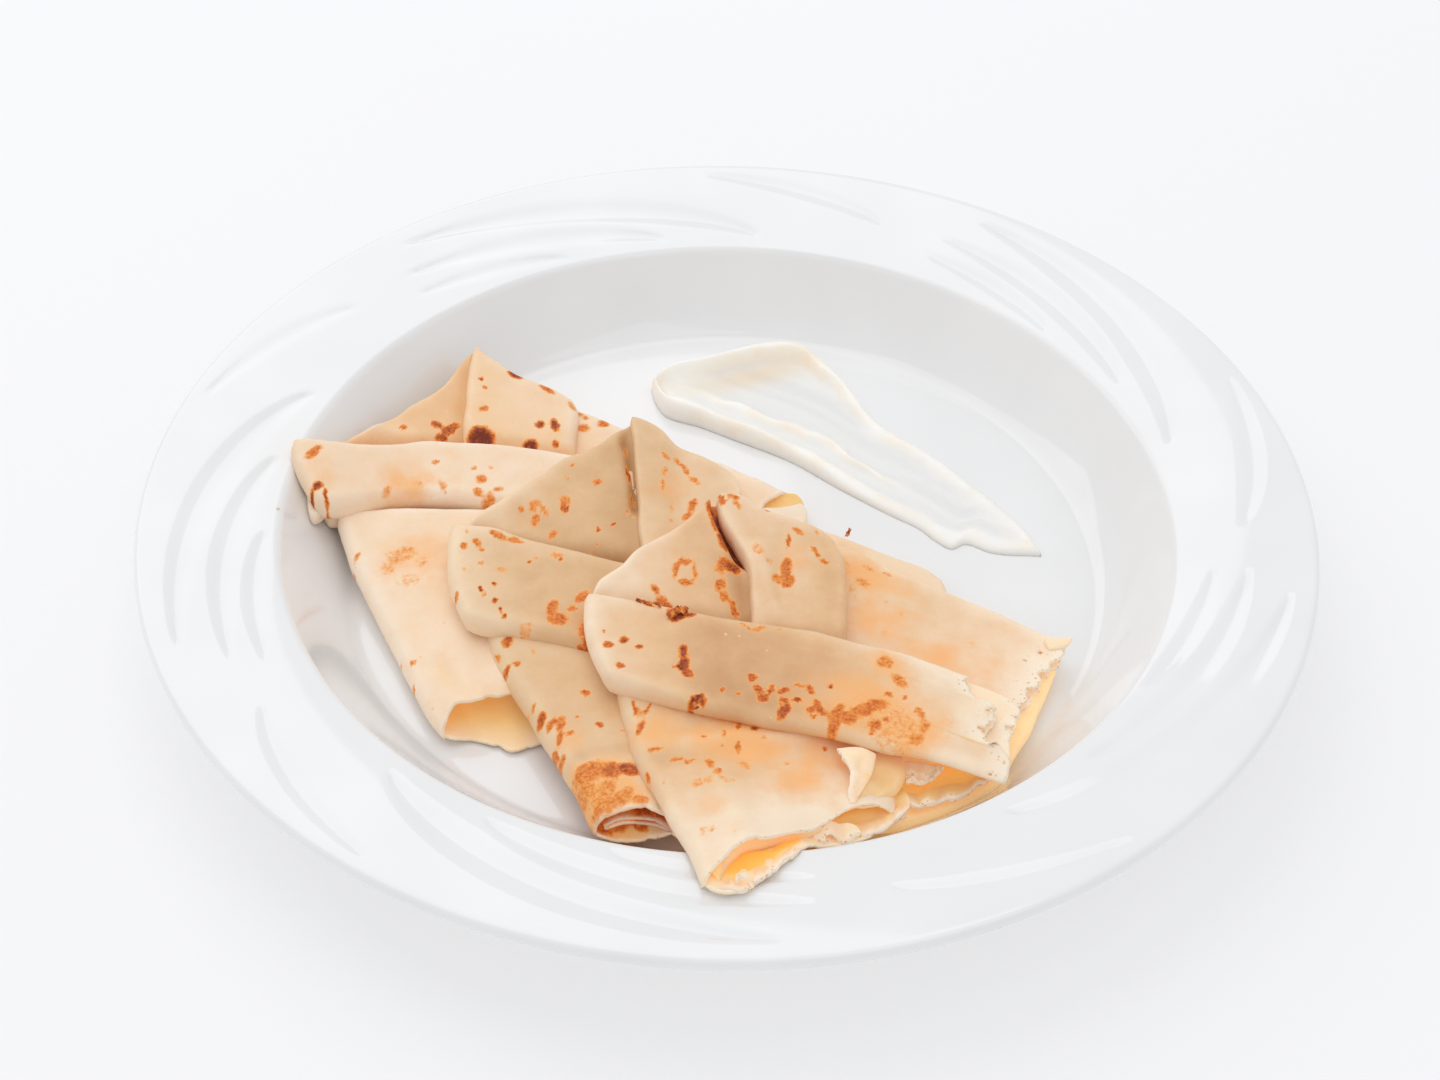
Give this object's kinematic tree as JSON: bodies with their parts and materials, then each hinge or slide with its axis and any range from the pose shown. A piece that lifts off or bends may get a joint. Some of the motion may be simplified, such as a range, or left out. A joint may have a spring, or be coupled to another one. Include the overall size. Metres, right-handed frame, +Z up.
{
  "type": "folded crepes",
  "caption": "Thin folded crepes overlapping on a round white porcelain plate with a deep well and a sloping rim, beside a smear of sour cream.",
  "frame": {"origin": "middle of the plate's foot, on the surface that the plate stands on", "axes": "+Z up, square to the plate; -Y towards the diner, who sees the crepes' pointed leg ends; +X to the diner's right, where the open crepe ends lie"},
  "size_m": [0.2796, 0.2796, 0.0307],
  "materials": {
    "porcelain": "glazed porcelain, glossy",
    "crepe_left_crust": "soft pale batter with browned spots",
    "crepe_middle_crust": "soft pale batter with browned spots",
    "crepe_front_crust": "soft pale batter with browned spots",
    "sour_cream": "smooth, moist"
  },
  "bodies": {
    "root": {"plate": "porcelain", "crepe_left": "crepe_left_crust", "crepe_middle": "crepe_middle_crust", "crepe_front": "crepe_front_crust", "cream_smear": "sour_cream"}
  },
  "joints": []
}
